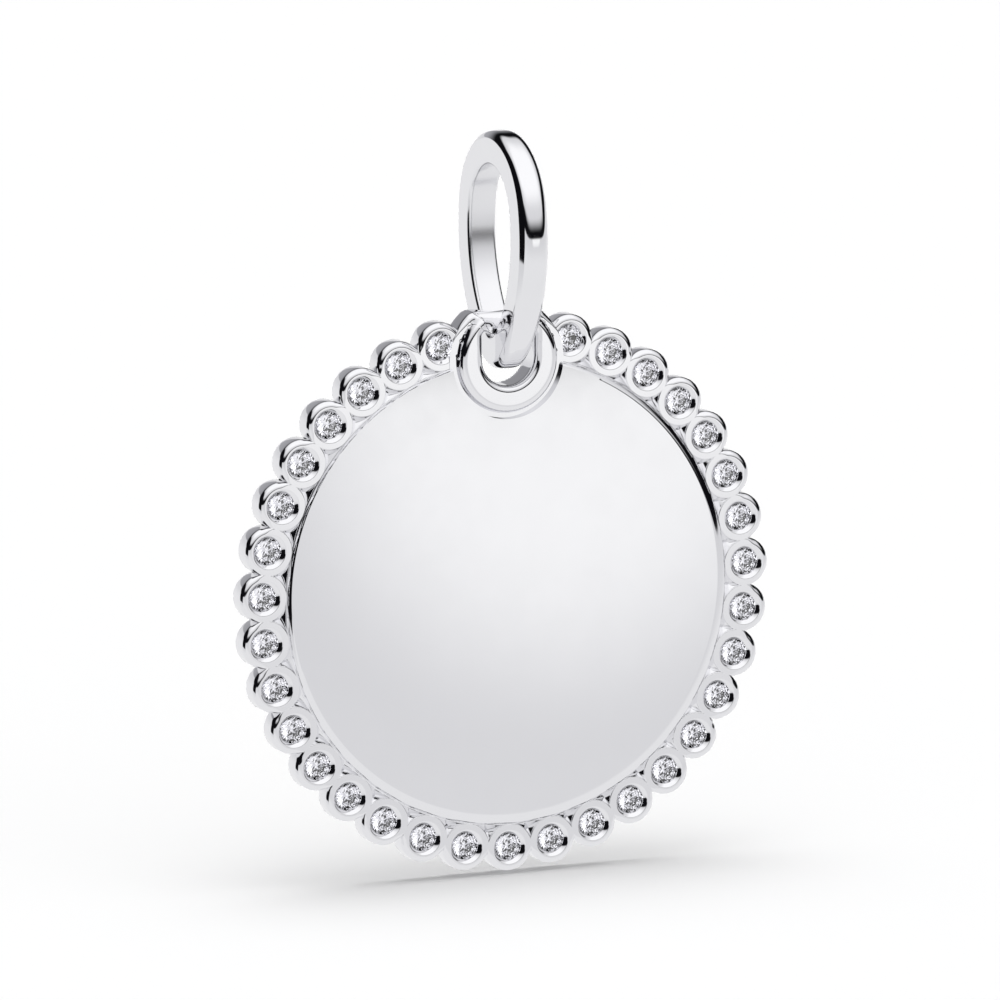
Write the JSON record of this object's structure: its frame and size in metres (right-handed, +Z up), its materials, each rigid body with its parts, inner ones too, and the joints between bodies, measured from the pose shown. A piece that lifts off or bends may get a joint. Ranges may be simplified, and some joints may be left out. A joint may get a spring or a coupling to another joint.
{
  "type": "disc pendant",
  "caption": "Round disc pendant with a raised plain plate, a border of stone-set beads, a pierced eyelet at the top and an oval bail through it.",
  "frame": {"origin": "inside top of the bail, the point that a chain or cord bears on, at the middle of the bail's width and depth", "axes": "+Z up, +X to the right as seen from the front, -Y towards the front of the pendant; the disc lies in the XZ plane"},
  "size_m": [0.02, 0.0062, 0.0264],
  "materials": {
    "silver": "high polish",
    "stone": "faceted and polished"
  },
  "bodies": {
    "bail": {"bail": "silver"},
    "medallion": {"medallion": "silver", "stone_01": "stone", "stone_02": "stone", "stone_03": "stone", "stone_04": "stone", "stone_05": "stone", "stone_06": "stone", "stone_07": "stone", "stone_08": "stone", "stone_09": "stone", "stone_10": "stone", "stone_11": "stone", "stone_12": "stone", "stone_13": "stone", "stone_14": "stone", "stone_15": "stone", "stone_16": "stone", "stone_17": "stone", "stone_18": "stone", "stone_19": "stone", "stone_20": "stone", "stone_21": "stone", "stone_22": "stone", "stone_23": "stone", "stone_24": "stone", "stone_25": "stone", "stone_26": "stone", "stone_27": "stone", "stone_28": "stone", "stone_29": "stone", "stone_30": "stone", "stone_31": "stone", "stone_32": "stone", "stone_33": "stone"}
  },
  "joints": [
    {"name": "medallion_swing", "type": "hinge", "parent": "bail", "child": "medallion", "pos_m": [0, 0, -0.0056], "axis": [1, 0, 0], "range_deg": [-80, 80]}
  ]
}
